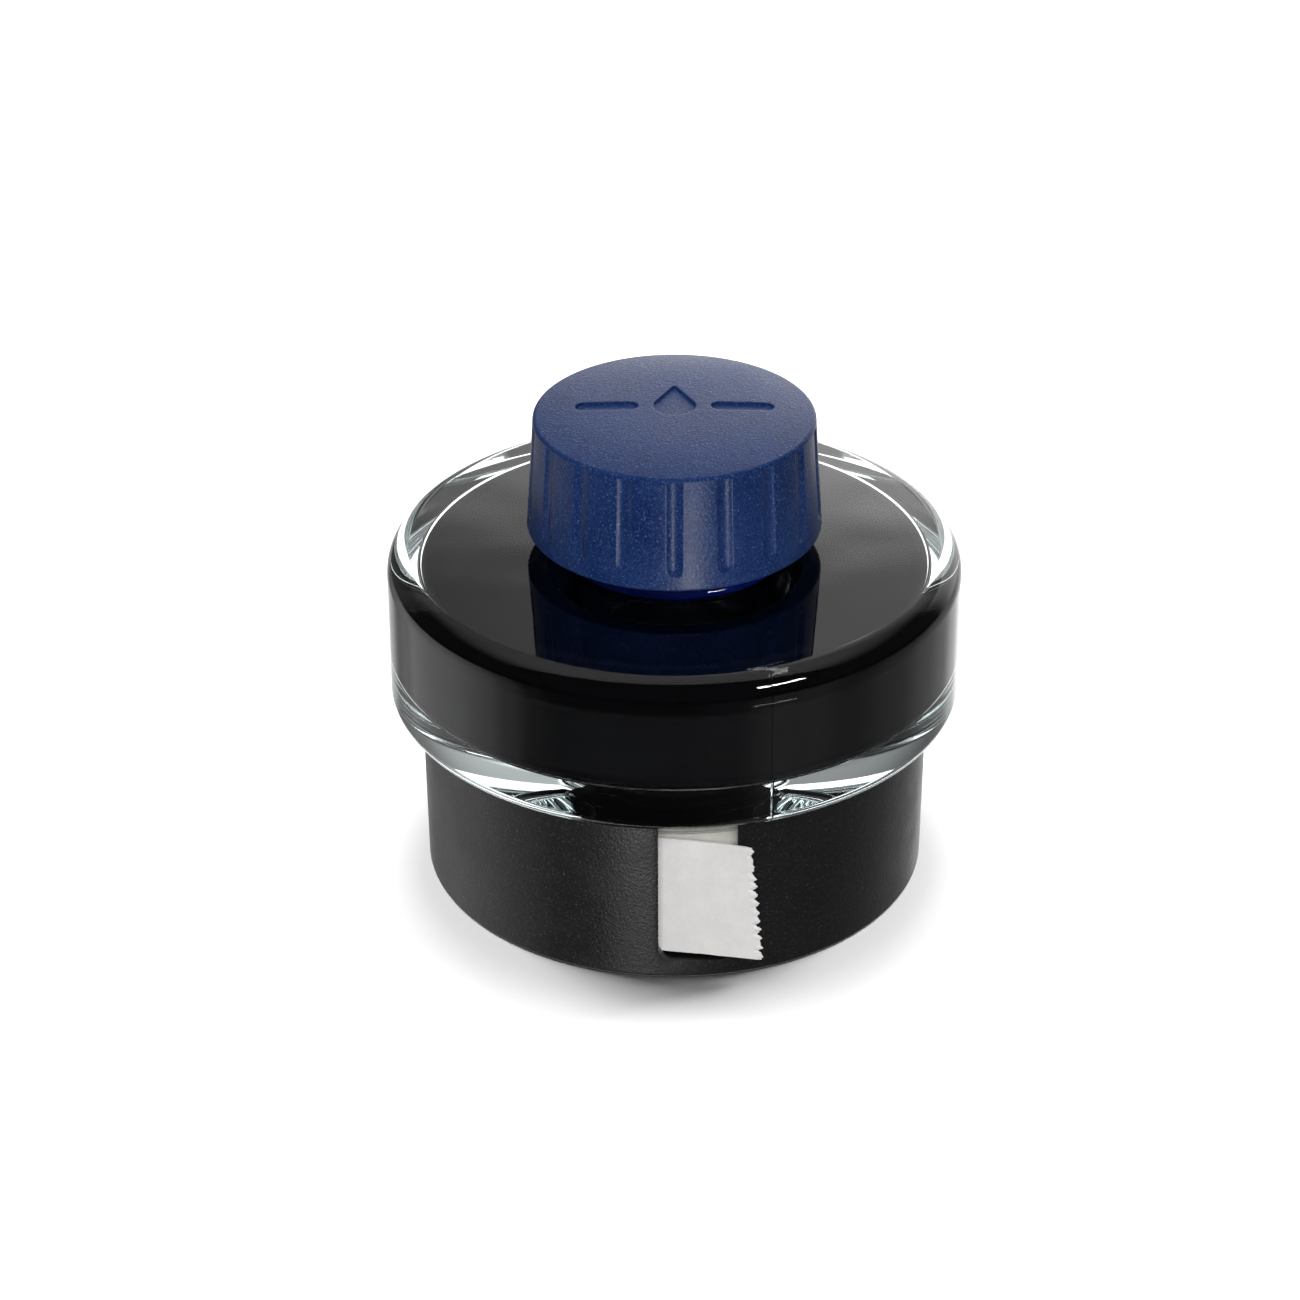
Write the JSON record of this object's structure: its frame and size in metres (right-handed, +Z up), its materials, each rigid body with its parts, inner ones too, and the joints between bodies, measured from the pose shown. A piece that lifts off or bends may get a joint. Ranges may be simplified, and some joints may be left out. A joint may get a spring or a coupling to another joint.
{
  "type": "ink bottle",
  "caption": "Round fountain-pen ink bottle: thick clear glass reservoir of dark blue ink, fluted blue screw cap, and a dark base holding a roll of blotting paper with its end showing.",
  "frame": {"origin": "centre of the base's foot ring, on the surface it stands on", "axes": "+Z up along the bottle's axis, -Y towards the viewer through the paper window, +X to the side the paper's end leaves towards"},
  "size_m": [0.074, 0.074, 0.064],
  "materials": {
    "clear_glass": "polished",
    "ink_liquid": "gloss",
    "blue_plastic": "satin",
    "liner_foam": "matte",
    "charcoal_plastic": "matte",
    "card_core": "matte",
    "rolled_paper": "matte",
    "blotting_paper": "matte"
  },
  "bodies": {
    "holder": {"base_shell": "charcoal_plastic"},
    "bottle": {"glass_bottle": "clear_glass", "ink": "ink_liquid"},
    "cap_seal": {"cap_liner": "liner_foam"},
    "cap": {"screw_cap": "blue_plastic"},
    "roll": {"paper_roll": "rolled_paper", "roll_core": "card_core"},
    "tab": {"paper_tab": "blotting_paper"}
  },
  "joints": [
    {"name": "bottle_pull", "type": "slide", "parent": "holder", "child": "bottle", "axis": [0, 0, 1], "range_m": [0, 0.03]},
    {"name": "cap_lift", "type": "slide", "parent": "bottle", "child": "cap_seal", "axis": [0, 0, 1], "range_m": [0, 0.015]},
    {"name": "cap_turn", "type": "hinge", "parent": "cap_seal", "child": "cap", "pos_m": [0, 0, 0.0482], "axis": [0, 0, 1], "range_deg": [0, 1260]},
    {"name": "roll_spin", "type": "hinge", "parent": "holder", "child": "roll", "pos_m": [0, 0, 0.003], "axis": [0, 0, 1], "range_deg": [0, 37.4]},
    {"name": "tab_pull", "type": "slide", "parent": "holder", "child": "tab", "axis": [0.9863, -0.165, 0], "range_m": [0, 0.0201]}
  ],
  "couplings": [
    {"joint": "cap_lift", "follows": "cap_turn", "m_per_rad": 0.00067376},
    {"joint": "tab_pull", "follows": "roll_spin", "m_per_rad": 0.03065}
  ]
}
